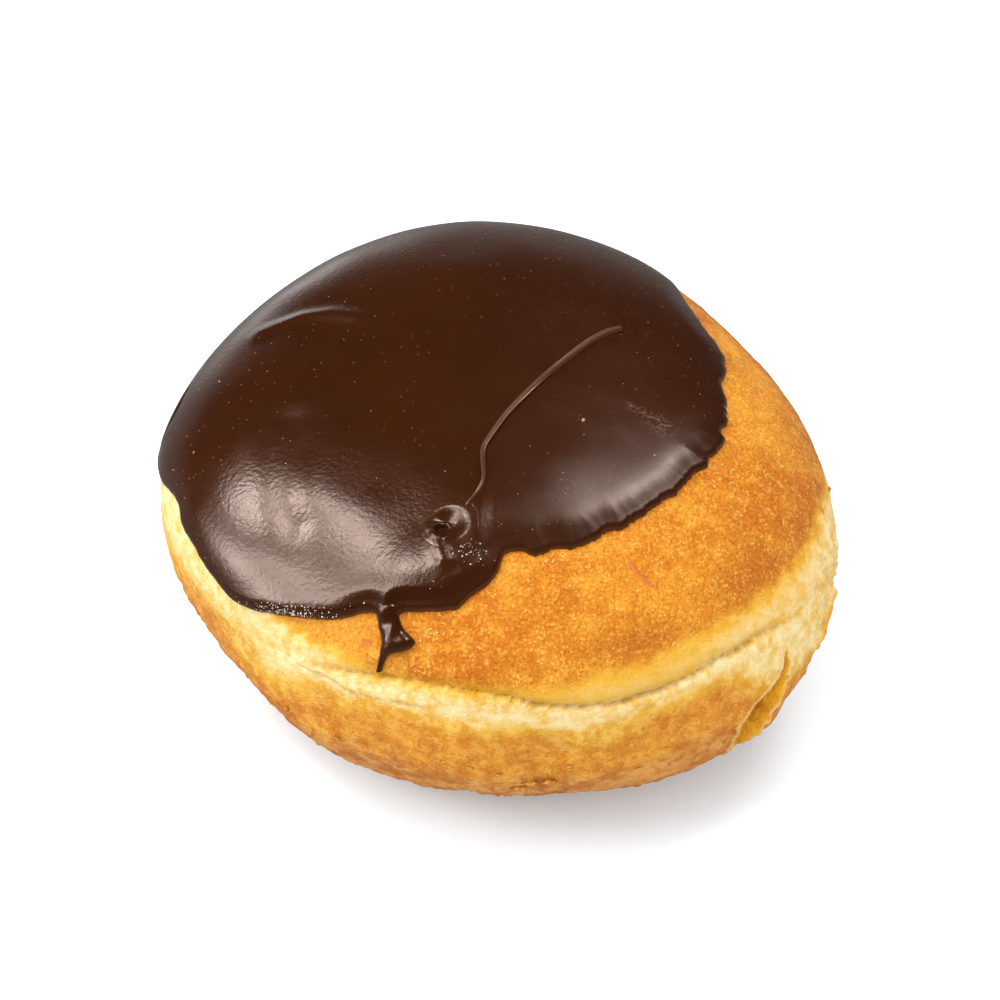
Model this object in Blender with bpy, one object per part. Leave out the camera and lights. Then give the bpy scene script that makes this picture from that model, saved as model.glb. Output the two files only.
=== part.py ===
"""Jelly filled doughnut, uncut, with chocolate icing: two solids, dough and icing.

Metres, +Z up, resting on z = 0. The side that the photograph shows in front faces -Y. A point
of the surface is named by its azimuth round +Z, in degrees from +X, and by its latitude, which
is 0 at the waist, 90 at the top and -90 underneath.
"""

import math

import bmesh
import bpy
import numpy as np
from mathutils import Vector

MEAN_RADIUS = 0.0475
DOUGH_HEIGHT = 0.048
WAIST_HEIGHT = 0.0264
WAIST_RISE = 0.0011
WAIST_RISE_AZIMUTH = -155

# Roundness of the section: 2 is an ellipse, and more is squarer.
UPPER_ROUNDNESS = 2.3
LOWER_ROUNDNESS = 2.9
# How far the board flattens the underside: 1 would leave it resting on a point.
REST_FLATTENING = 1.012

# The outline from above is a circle with lobes: (how many, share of the radius, azimuth).
LOWER_LOBES = ((2, 0.062, -46), (3, 0.012, -30), (4, 0.010, -29), (5, 0.007, 29))
UPPER_LOBES = ((2, 0.022, -45), (3, 0.029, -35), (4, 0.019, 5), (5, 0.008, -26))

# The proofing crease round the pale ring: (azimuth, latitude, depth in mm).
CREASE = (
    (-180, 8, 0.9), (-150, 7, 0.5), (-123, 9, 0.7), (-107, 16.5, 1.1), (-94, 17.5, 1.1),
    (-82, 13.5, 1.1), (-70, 10.5, 1.3), (-52, 13, 1.3), (-40, 11.5, 1.4), (-28, 7, 0.6),
    (20, 7, 0.7), (80, 10, 0.9), (140, 8, 0.8),
)
CREASE_HALF_WIDTH = 3.2

# Shallow dents: (azimuth, latitude, half width and half height in degrees, depth in mm).
DENTS = ((-85, -9, 5, 16, 0.9), (-120, -3, 9, 7, 0.5), (-60, -6, 7, 9, 0.4))

# The torn slot in the skin at the front right.
TEAR_TOP = Vector((0.0396, -0.0309, 0.0272))
TEAR_BOTTOM = Vector((0.0342, -0.0352, 0.0115))
TEAR_OUTWARD = Vector((0.66, -0.75, 0.0))
TEAR_HALF_WIDTH = 0.0015
TEAR_DEPTH = 0.0042

ICING_GAP = 0.00032
ICING_THICKNESS = 0.0010
ICING_RIM_RADIUS = 0.0008
ICING_REACH = 0.045
# Where the icing ends: (azimuth, latitude).
ICING_EDGE = (
    (-180, 10), (-170, 17.5), (-160, 18.5), (-151, 15), (-143, 13), (-133, 18.5), (-122, 27),
    (-110, 36), (-98, 42), (-92, 49), (-87, 56), (-77, 55.5), (-65, 55), (-50, 56), (-38, 56),
    (-22, 53.5), (-8, 51), (5, 49.5), (17, 45), (31, 40.5), (42, 35.5), (52, 31), (70, 24),
    (90, 17), (112, 13), (135, 9), (150, 11), (165, 8),
)

# The run of icing down the front: (azimuth, latitude, half length, half width, thickness, lean).
DRIP_DROPS = (
    (-112.5, 33, 0.0024, 0.0020, 0.0013, 0),
    (-112.4, 27.5, 0.0022, 0.0012, 0.0011, 0),
    (-112.6, 21.5, 0.0024, 0.0007, 0.0008, 0),
    (-112.0, 17.8, 0.0017, 0.0004, 0.0006, -10),
    (-108.2, 28.0, 0.0022, 0.0013, 0.0013, 60),
)

# The thread of icing across the top: (x, y, half width) in mm.
THREAD = (
    (17.4, 12.2, 0.42), (15.2, 10.9, 0.46), (13.0, 8.9, 0.46), (10.9, 6.5, 0.44), (8.8, 3.8, 0.42),
    (5.9, 0.3, 0.4), (3.1, -3.5, 0.38), (1.0, -6.5, 0.36), (-0.5, -9.5, 0.34), (-1.8, -11.8, 0.32),
    (-2.2, -13.4, 0.3), (-2.0, -16.5, 0.28), (-1.9, -18.6, 0.26), (-3.0, -20.9, 0.24), (-4.9, -23.2, 0.24),
)

NUB_AT = (-0.0067, -0.0249)
NUB_RADIUS = 0.0021
NUB_HEIGHT = 0.0013
NUB_RISE = 0.0004
DIMPLE_AT = (-0.0077, -0.0268)
DIMPLE_RADIUS = 0.0008

DOUGH_SEGMENTS = (84, 40)
ICING_SEGMENTS = (92, 28)


def clear_scene():
    """Remove the startup objects."""
    for obj in list(bpy.data.objects):
        bpy.data.objects.remove(obj)


def new_collection(name):
    """Link an empty collection to the scene."""
    collection = bpy.data.collections.new(name)
    bpy.context.scene.collection.children.link(collection)
    return collection


def new_material(name, color, roughness):
    """One plain Principled material."""
    material = bpy.data.materials.new(name)
    material.use_nodes = True
    shader = material.node_tree.nodes["Principled BSDF"]
    shader.inputs["Base Color"].default_value = (*color, 1)
    shader.inputs["Roughness"].default_value = roughness
    return material


def smooth_table(table, azimuth):
    """Read a table of (azimuth, value) at any azimuth, as a smooth closed curve."""
    corners = np.array([row[0] for row in table], float)
    values = np.array([row[1] for row in table], float)
    count = len(corners)
    azimuth = (azimuth - corners[0]) % 360 + corners[0]
    at = np.searchsorted(corners, azimuth, side="right") - 1
    start = corners[at]
    width = (corners[(at + 1) % count] - start) % 360
    t = (azimuth - start) / width
    before, here, after, beyond = (values[(at + step) % count] for step in (-1, 0, 1, 2))
    slope_here = (after - before) / 2
    slope_after = (beyond - here) / 2
    rise = here + (after - here) * t * t * (3 - 2 * t)
    return rise + t * (1 - t) * (slope_here * (1 - t) - slope_after * t)


def outline(lobes, azimuth):
    """The outline's radius from above, as a share of the mean."""
    radius = np.ones_like(azimuth)
    for count, share, toward in lobes:
        radius = radius + share * np.cos(np.radians(count * (azimuth - toward)))
    return radius


def waist_height(azimuth):
    """The height of the widest level, a little tilted."""
    return WAIST_HEIGHT + WAIST_RISE * np.cos(np.radians(azimuth - WAIST_RISE_AZIMUTH))


def on_surface(azimuth, latitude, lift=0.0):
    """The points at a height of lift over the smooth dough: a superellipse section."""
    azimuth, latitude = np.broadcast_arrays(np.asarray(azimuth, float), np.asarray(latitude, float))
    blend = np.clip((np.radians(latitude) + 0.6) / 1.2, 0, 1)
    blend = blend * blend * (3 - 2 * blend)
    share = outline(LOWER_LOBES, azimuth) * (1 - blend) + outline(UPPER_LOBES, azimuth) * blend
    upper = latitude >= 0
    power = np.where(upper, 2 / UPPER_ROUNDNESS, 2 / LOWER_ROUNDNESS)
    across = np.clip(np.cos(np.radians(latitude)), 0, 1) ** power
    along = np.abs(np.sin(np.radians(latitude))) ** power
    radius = (MEAN_RADIUS * share + lift) * across
    waist = waist_height(azimuth)
    top = waist + (DOUGH_HEIGHT + lift - waist) * along
    bottom = waist * (1 - np.minimum(REST_FLATTENING * along, 1))
    height = np.where(upper, top, bottom)
    turn = np.radians(azimuth)
    return np.stack([radius * np.cos(turn), radius * np.sin(turn), height], -1)


def over_top(x, y, lift):
    """The point at a height of lift over the smooth dough's upper half, straight above (x, y)."""
    azimuth = math.degrees(math.atan2(y, x))
    reach = MEAN_RADIUS * float(outline(UPPER_LOBES, np.array(azimuth))) + lift
    across = math.hypot(x, y) / reach
    waist = float(waist_height(azimuth))
    along = (1 - across**UPPER_ROUNDNESS) ** (1 / UPPER_ROUNDNESS)
    return Vector((x, y, waist + (DOUGH_HEIGHT + lift - waist) * along))


def between(angle, toward):
    """The angle from toward, from -180 to 180."""
    return (angle - toward + 180) % 360 - 180


def sphere_angles(points):
    """The azimuth and latitude, in degrees, of points of the unit sphere."""
    azimuth = np.degrees(np.arctan2(points[:, 1], points[:, 0]))
    latitude = np.degrees(np.arcsin(np.clip(points[:, 2], -1, 1)))
    return azimuth, latitude


def sphere_object(name, collection, segments, shape):
    """A UV sphere whose points are moved by the function shape."""
    work = bmesh.new()
    bmesh.ops.create_uvsphere(work, u_segments=segments[0], v_segments=segments[1], radius=1)
    points = np.array([vertex.co for vertex in work.verts])
    for vertex, point in zip(work.verts, shape(points), strict=True):
        vertex.co = point
    work.normal_update()
    bmesh.ops.recalc_face_normals(work, faces=work.faces)
    mesh = bpy.data.meshes.new(name)
    work.to_mesh(mesh)
    work.free()
    obj = bpy.data.objects.new(name, mesh)
    collection.objects.link(obj)
    return obj


def dough_shape(points):
    """The dough: rings drawn together at the waist, a crease and a few dents."""
    azimuth, latitude = sphere_angles(points)
    latitude = latitude - 0.25 * np.degrees(np.sin(np.radians(2 * latitude)))
    crease_at = smooth_table([row[:2] for row in CREASE], azimuth)
    crease_depth = smooth_table([(row[0], row[2]) for row in CREASE], azimuth)
    sink = crease_depth * np.exp(-(((latitude - crease_at) / CREASE_HALF_WIDTH) ** 2))
    for toward, level, width, height, depth in DENTS:
        near = (between(azimuth, toward) / width) ** 2 + ((latitude - level) / height) ** 2
        sink = sink + depth * np.exp(-near)
    shaped = on_surface(azimuth, latitude)
    shaped[:, :2] *= (1 - sink / 1000 / MEAN_RADIUS)[:, None]
    return shaped


def icing_shape(points):
    """The icing: the sphere's upper half is its outside, and the lower half its underside."""
    azimuth, latitude = sphere_angles(points)
    out = 1 - (np.abs(latitude) / 90) ** 1.8
    edge = smooth_table(ICING_EDGE, azimuth)
    inward = np.minimum((1 - out) * ICING_REACH / ICING_RIM_RADIUS, 1)
    bulge = np.sqrt(1 - (1 - inward) ** 2) * np.sign(latitude)
    lift = ICING_GAP + ICING_THICKNESS * (0.5 + 0.5 * bulge)
    return on_surface(azimuth, 90 - (90 - edge) * out, lift)


def drop_shape(azimuth, latitude, length, width, thickness, lean):
    """A flat drop of icing lying on the dough, leaned from the fall line by lean degrees."""

    def shape(points):
        turn = math.radians(lean)
        down = points[:, 0] * length * math.cos(turn) - points[:, 1] * width * math.sin(turn)
        side = points[:, 0] * length * math.sin(turn) + points[:, 1] * width * math.cos(turn)
        here, below, beside = on_surface(
            np.array([azimuth, azimuth, azimuth + 1]), np.array([latitude, latitude - 1, latitude])
        )
        per_latitude = np.linalg.norm(below - here)
        per_azimuth = np.linalg.norm(beside - here)
        height = np.where(points[:, 2] > 0, 0.35 + 0.65 * points[:, 2], 0.35 + 0.35 * points[:, 2])
        lift = ICING_GAP + thickness * height
        return on_surface(azimuth + side / per_azimuth, latitude - down / per_latitude, lift)

    return shape


def ball_shape(centre, half_sizes):
    """An upright ellipsoid."""
    return lambda points: np.array(centre) + points * np.array(half_sizes)


def tear_shape(points):
    """The cutter of the torn slot: a flat lens set into the skin from top to bottom."""
    middle = (TEAR_TOP + TEAR_BOTTOM) / 2
    along = (TEAR_TOP - TEAR_BOTTOM).normalized()
    outward = (TEAR_OUTWARD - TEAR_OUTWARD.dot(along) * along).normalized()
    across = outward.cross(along)
    half_length = (TEAR_TOP - TEAR_BOTTOM).length / 2
    axes = np.array([along * half_length, across * TEAR_HALF_WIDTH, outward * TEAR_DEPTH])
    return np.array(middle) + points @ axes


def thread_object(name, collection):
    """The thread of icing: a tapered round curve along the top, made a mesh."""
    curve = bpy.data.curves.new(name, "CURVE")
    curve.dimensions = "3D"
    curve.bevel_depth = 0.001
    curve.bevel_resolution = 1
    curve.use_fill_caps = True
    spline = curve.splines.new("POLY")
    spline.points.add(len(THREAD) - 1)
    for point, (x, y, half_width) in zip(spline.points, THREAD, strict=True):
        lift = ICING_GAP + ICING_THICKNESS + 0.0003 * half_width
        point.co = (*over_top(x / 1000, y / 1000, lift), 1)
        point.radius = half_width
    drawn = bpy.data.objects.new(name + "_curve", curve)
    collection.objects.link(drawn)
    bpy.context.view_layer.update()
    mesh = bpy.data.meshes.new_from_object(drawn.evaluated_get(bpy.context.evaluated_depsgraph_get()))
    bpy.data.objects.remove(drawn)
    work = bmesh.new()
    work.from_mesh(mesh)
    bmesh.ops.remove_doubles(work, verts=work.verts, dist=1e-6)
    bmesh.ops.recalc_face_normals(work, faces=work.faces)
    work.to_mesh(mesh)
    work.free()
    obj = bpy.data.objects.new(name, mesh)
    collection.objects.link(obj)
    return obj


def apply_boolean(obj, operation, collection):
    """Apply one Boolean with all of a collection's objects, then remove them."""
    modifier = obj.modifiers.new(operation.title(), "BOOLEAN")
    modifier.operation = operation
    modifier.operand_type = "COLLECTION"
    modifier.collection = collection
    modifier.solver = "EXACT"
    bpy.context.view_layer.update()
    graph = bpy.context.evaluated_depsgraph_get()
    mesh = bpy.data.meshes.new_from_object(obj.evaluated_get(graph))
    obj.modifiers.clear()
    mesh.name = obj.name
    obj.data = mesh
    for tool in list(collection.objects):
        bpy.data.objects.remove(tool)
    bpy.data.collections.remove(collection)


def build_dough(collection):
    """The dough, with the torn slot cut out of its skin."""
    dough = sphere_object("dough", collection, DOUGH_SEGMENTS, dough_shape)
    cutters = new_collection("dough_cutters")
    tear = sphere_object("tear_cutter", cutters, (24, 12), tear_shape)
    tear.hide_render = True
    tear.display_type = "WIRE"
    apply_boolean(dough, "DIFFERENCE", cutters)
    dough.data.materials.append(new_material("dough", (0.74, 0.38, 0.09), 0.6))
    return dough


def build_icing(collection):
    """The icing, with its drip, thread and nub fused to it, and the nub's dimple cut."""
    icing = sphere_object("icing", collection, ICING_SEGMENTS, icing_shape)
    added = new_collection("icing_additions")
    for number, drop in enumerate(DRIP_DROPS):
        sphere_object(f"drip_{number}", added, (14, 8), drop_shape(*drop))
    thread_object("thread", added)
    nub = over_top(*NUB_AT, ICING_GAP + ICING_THICKNESS + NUB_RISE)
    sphere_object("nub", added, (18, 10), ball_shape(nub, (NUB_RADIUS, NUB_RADIUS, NUB_HEIGHT)))
    apply_boolean(icing, "UNION", added)
    cutters = new_collection("icing_cutters")
    dimple = over_top(*DIMPLE_AT, ICING_GAP + ICING_THICKNESS + 0.0010)
    cutter = sphere_object("dimple_cutter", cutters, (12, 8), ball_shape(dimple, (DIMPLE_RADIUS,) * 3))
    cutter.hide_render = True
    cutter.display_type = "WIRE"
    apply_boolean(icing, "DIFFERENCE", cutters)
    icing.data.materials.append(new_material("icing", (0.045, 0.018, 0.010), 0.3))
    return icing


def main():
    clear_scene()
    collection = new_collection("jelly_filled_doughnut")
    build_dough(collection)
    build_icing(collection)


main()
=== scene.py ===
import bpy
import numpy as np
from mathutils.bvhtree import BVHTree
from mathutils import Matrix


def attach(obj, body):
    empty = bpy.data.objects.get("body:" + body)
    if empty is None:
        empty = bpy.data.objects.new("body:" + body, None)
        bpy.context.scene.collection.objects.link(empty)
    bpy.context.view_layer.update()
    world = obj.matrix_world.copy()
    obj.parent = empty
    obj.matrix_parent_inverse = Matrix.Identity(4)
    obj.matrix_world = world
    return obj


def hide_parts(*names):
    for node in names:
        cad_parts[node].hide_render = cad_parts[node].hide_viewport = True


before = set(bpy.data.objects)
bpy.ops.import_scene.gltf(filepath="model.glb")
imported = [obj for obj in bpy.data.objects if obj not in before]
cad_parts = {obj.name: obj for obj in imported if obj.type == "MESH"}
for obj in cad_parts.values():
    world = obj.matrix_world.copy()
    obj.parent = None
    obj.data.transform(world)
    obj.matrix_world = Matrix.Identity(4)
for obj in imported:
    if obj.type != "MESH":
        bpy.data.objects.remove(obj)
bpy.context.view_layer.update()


# The dough
# A ball of yeast dough, proofed round and fried on one side and then the other. The fat browns
# the top and the underside and leaves a pale ring at the waist, where the ball floated. The ring
# has a crease left by proofing, and the skin is torn open at the front right.

# The ball in metres, as in the solids. Roundness 2 is an ellipse, and more is squarer. A lobe is
# (how many round the ball, share of the radius, azimuth).
MEAN_RADIUS = 0.0475
DOUGH_HEIGHT = 0.048
WAIST_HEIGHT = 0.0264
WAIST_RISE = 0.0011
WAIST_RISE_AZIMUTH = -155
UPPER_ROUNDNESS = 2.3
LOWER_ROUNDNESS = 2.9
REST_FLATTENING = 1.012
LOWER_LOBES = ((2, 0.062, -46), (3, 0.012, -30), (4, 0.010, -29), (5, 0.007, 29))
UPPER_LOBES = ((2, 0.022, -45), (3, 0.029, -35), (4, 0.019, 5), (5, 0.008, -26))

# The grid of points, and the height of a degree of latitude near the ring.
DOUGH_COLUMNS = 624
DOUGH_ROWS = 146
MM_PER_LATITUDE = 0.42

# The crease: (azimuth, latitude, depth in mm, how much the lip under it stands proud in mm).
CREASE = (
    (-180, 8, 0.2, 0.0), (-160, 6, 0.1, 0.0), (-140, 4, 0.1, 0.0), (-128, 6.5, 0.15, 0.05),
    (-123, 9.0, 0.5, 0.1), (-117.8, 11.7, 0.7, 0.2), (-112, 14.8, 0.8, 0.3), (-107, 16.6, 0.8, 0.45),
    (-100.5, 17.6, 0.8, 0.7), (-94.5, 17.5, 0.8, 0.75), (-88.5, 16.6, 0.8, 0.6), (-82.5, 13.6, 0.8, 0.35),
    (-76.2, 11.2, 0.7, 0.2), (-71.8, 10.3, 0.8, 0.15), (-66.8, 10.6, 0.8, 0.2), (-62, 11.2, 0.8, 0.3),
    (-58.8, 11.6, 0.7, 0.3), (-55, 12.4, 0.65, 0.4), (-51, 13.6, 0.65, 0.45), (-47, 12.9, 0.65, 0.45),
    (-41.8, 12.6, 0.55, 0.35), (-37, 10.6, 0.4, 0.25), (-32, 8.5, 0.3, 0.1), (-24, 7, 0.2, 0.0),
    (0, 8, 0.5, 0.1), (40, 10, 0.8, 0.2), (85, 8, 0.7, 0.2), (120, 10, 0.9, 0.2), (150, 8, 0.8, 0.2),
)

# Where the top's golden crust ends, and where the browned underside begins: (azimuth, latitude).
GOLDEN_LINE = (
    (-180, 24), (-165, 25), (-150, 21), (-142, 20), (-137, 21), (-133.5, 19.5), (-131, 17.5),
    (-124, 17.5), (-117, 16.5), (-111, 16), (-101, 18), (-88, 17.5), (-79, 18.5), (-72, 21),
    (-66, 20.8), (-59, 21), (-54.5, 21.8), (-49, 23),
    (-44, 22.8), (-38.8, 21.5), (-32, 20.7), (-26.5, 20), (-20.8, 20), (-14, 19.8), (-4, 15), (4, 11),
    (20, 14), (50, 17), (90, 15), (130, 16),
)
BROWN_LINE = (
    (-180, 1), (-167, 1), (-160, 0.5), (-154, 2), (-148, 1.5), (-142, -1), (-132, -2.5), (-127, -0.5),
    (-115, 2), (-100, 4), (-92, 3), (-85, 3.2), (-77, 1.5), (-70, 2.4), (-63, 4.6), (-52.5, 7), (-46, 1),
    (-38, -4), (-30, -8), (-22, -7), (-12, -4), (0, -2), (30, 1), (60, -3), (100, 2), (140, 0),
)

# The torn slot, down its middle: (azimuth, latitude, half width in mm).
TEAR = (
    (-37.4, 1.0, 0.2), (-37.7, -1.2, 0.6), (-39.0, -3.2, 1.1), (-41.2, -5.4, 1.6), (-43.4, -7.8, 2.0),
    (-45.0, -11.0, 2.2), (-45.8, -15.5, 2.2), (-46.2, -20.5, 1.8), (-46.2, -25.5, 1.0),
)
TEAR_DEPTH = 5.0

# Where the air bubble under the icing burst, and how far it pushed the dough down in mm.
BUBBLE_AT = (-104.6, 59.4)
BUBBLE_HOLLOW = 1.8


def read_round(table, azimuth, column=1):
    """A column of a table of azimuths, read anywhere round the ball: a cubic through its rows."""
    corners = np.array([row[0] for row in table], float)
    values = np.array([row[column] for row in table], float)
    count = len(corners)
    azimuth = (np.asarray(azimuth, float) - corners[0]) % 360 + corners[0]
    at = np.searchsorted(corners, azimuth, side="right") - 1
    width = (corners[(at + 1) % count] - corners[at]) % 360
    t = (azimuth - corners[at]) / width
    before, here, after, beyond = (values[(at + step) % count] for step in (-1, 0, 1, 2))
    gap_before = (corners[at] - corners[(at - 1) % count]) % 360
    gap_after = (corners[(at + 2) % count] - corners[(at + 1) % count]) % 360
    slope_here = (after - before) / (width + gap_before) * width
    slope_after = (beyond - here) / (width + gap_after) * width
    rise = here + (after - here) * t * t * (3 - 2 * t)
    return rise + slope_here * t * (1 - t) ** 2 - slope_after * t * t * (1 - t)


def lobed(lobes, azimuth):
    """Radius of the outline from above, as a share of the mean: 1 plus one cosine for each lobe."""
    return 1 + sum(share * np.cos(np.radians(count * (azimuth - toward))) for count, share, toward in lobes)


def dough_skin(azimuth, latitude, lift=0.0):
    """The smooth ball: a superellipse section turned round a lobed outline, grown outwards by lift."""
    azimuth, latitude = np.broadcast_arrays(np.asarray(azimuth, float), np.asarray(latitude, float))
    blend = np.clip((np.radians(latitude) + 0.6) / 1.2, 0, 1)
    blend = blend * blend * (3 - 2 * blend)
    share = lobed(LOWER_LOBES, azimuth) * (1 - blend) + lobed(UPPER_LOBES, azimuth) * blend
    waist = WAIST_HEIGHT + WAIST_RISE * np.cos(np.radians(azimuth - WAIST_RISE_AZIMUTH))
    power = np.where(latitude >= 0, 2 / UPPER_ROUNDNESS, 2 / LOWER_ROUNDNESS)
    across = np.clip(np.cos(np.radians(latitude)), 0, 1) ** power
    along = np.abs(np.sin(np.radians(latitude))) ** power
    radius = (MEAN_RADIUS * share + lift) * across
    top = waist + (DOUGH_HEIGHT + lift - waist) * along
    bottom = waist * (1 - np.minimum(REST_FLATTENING * along, 1))
    turn = np.radians(azimuth)
    return np.stack([radius * np.cos(turn), radius * np.sin(turn), np.where(latitude >= 0, top, bottom)], -1)


def skin_line(points):
    """Points on the smooth ball, from rows of (azimuth, latitude, ...)."""
    return dough_skin(*np.array([row[:2] for row in points], float).T)


def from_place(points, place):
    """Distance in mm from a place on the smooth ball."""
    return np.linalg.norm(points - dough_skin(*place), axis=-1) * 1000


SMALL_STEP = 0.05


def outward(azimuth, latitude):
    """Unit normals of the smooth ball, square to a small step east and a small step north."""
    latitude = np.clip(latitude, -89.5, 89.5)
    here = dough_skin(azimuth, latitude)
    east = dough_skin(azimuth + SMALL_STEP, latitude) - here
    north = dough_skin(azimuth, latitude + SMALL_STEP) - here
    normal = np.cross(east, north)
    return normal / np.maximum(np.linalg.norm(normal, axis=-1, keepdims=True), 1e-15)


def crowded(low, high, count, density):
    """Steps from low to high that lie closer where density(value) is greater."""
    fine = np.linspace(low, high, 8001)
    run = np.concatenate([[0], np.cumsum(density((fine[1:] + fine[:-1]) / 2))])
    return np.interp(np.linspace(0, run[-1], count), run, fine)


LUMP_WAVES = 28


def lumps(points, size, seed):
    """Soft random lumps of about this size in metres, about -1 to 1: a sum of even cosine waves."""
    draw = np.random.default_rng(seed)
    waves = draw.normal(size=(LUMP_WAVES, 3))
    pace = (2 * np.pi / size) * draw.uniform(0.6, 1.3, (LUMP_WAVES, 1))
    waves *= pace / np.linalg.norm(waves, axis=1, keepdims=True)
    phases = draw.uniform(0, 2 * np.pi, LUMP_WAVES)
    flat = points.reshape(-1, 3)
    total = np.zeros(len(flat))
    for wave, phase in zip(waves, phases, strict=True):
        total += np.cos(flat @ wave + phase)
    return (total / LUMP_WAVES**0.5 * 0.8).reshape(points.shape[:-1])


def swell(points):
    """The broad unevenness in mm that the dough, the icing and the run share."""
    return 0.35 * lumps(points, 0.030, 1)


def along_line(points, line):
    """Distance in mm from points to a chain of points, the side of it, and the place along it."""
    flat = points.reshape(-1, 3)
    nearest = np.full(len(flat), 1e9)
    side = np.zeros(len(flat))
    place = np.zeros(len(flat))
    for step, (a, b) in enumerate(zip(line[:-1], line[1:], strict=True)):
        run = b - a
        t = np.clip((flat - a) @ run / (run @ run), 0, 1)
        apart = flat - a - t[:, None] * run
        distance = np.linalg.norm(apart, axis=1)
        closer = distance < nearest
        nearest = np.where(closer, distance, nearest)
        facing = np.cross(run, np.array([a[0], a[1], 0.0]) / np.hypot(a[0], a[1]))
        side = np.where(closer, np.sign(apart @ facing), side)
        place = np.where(closer, step + t, place)
    shape = points.shape[:-1]
    return nearest.reshape(shape) * 1000, side.reshape(shape), place.reshape(shape)


def bell(value, half_width):
    """1 where value is 0, falling off to both sides as a bell curve."""
    return np.exp(-((value / half_width) ** 2))


def soft_step(value, low, high):
    """0 up to low, 1 from high, and a smooth rise between."""
    t = np.clip((value - low) / (high - low), 0, 1)
    return t * t * (3 - 2 * t)


def turned(azimuth, toward):
    """The angle from toward, from -180 to 180."""
    return (azimuth - toward + 180) % 360 - 180


def in_scene(name, data):
    """A new object with this data, linked to the scene."""
    made = bpy.data.objects.new(name, data)
    bpy.context.scene.collection.objects.link(made)
    return made


def closed_sheet(name, grid, low_pole, high_pole, marks=None):
    """A smooth mesh from a grid that closes round its columns, with a fan to a point at each end."""
    rows, columns = grid.shape[:2]
    index = np.arange(rows * columns).reshape(rows, columns)
    right = np.roll(index, -1, axis=1)
    quads = np.stack([index[:-1], right[:-1], right[1:], index[1:]], -1).reshape(-1, 4)
    low, high = rows * columns, rows * columns + 1
    bottom = np.stack([right[0], index[0], np.full(columns, low)], -1)
    top = np.stack([index[-1], right[-1], np.full(columns, high)], -1)
    mesh = bpy.data.meshes.new(name)
    vertices = np.concatenate([grid.reshape(-1, 3), [low_pole, high_pole]])
    mesh.from_pydata(vertices.tolist(), [], quads.tolist() + bottom.tolist() + top.tolist())
    mesh.shade_smooth()
    for mark, values in (marks or {}).items():
        layer = mesh.attributes.new(mark, "FLOAT", "POINT")
        whole = np.concatenate([values.ravel(), values[0, :1], values[-1, :1]])
        layer.data.foreach_set("value", whole.astype(np.float32))
    return in_scene(name, mesh)


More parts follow.
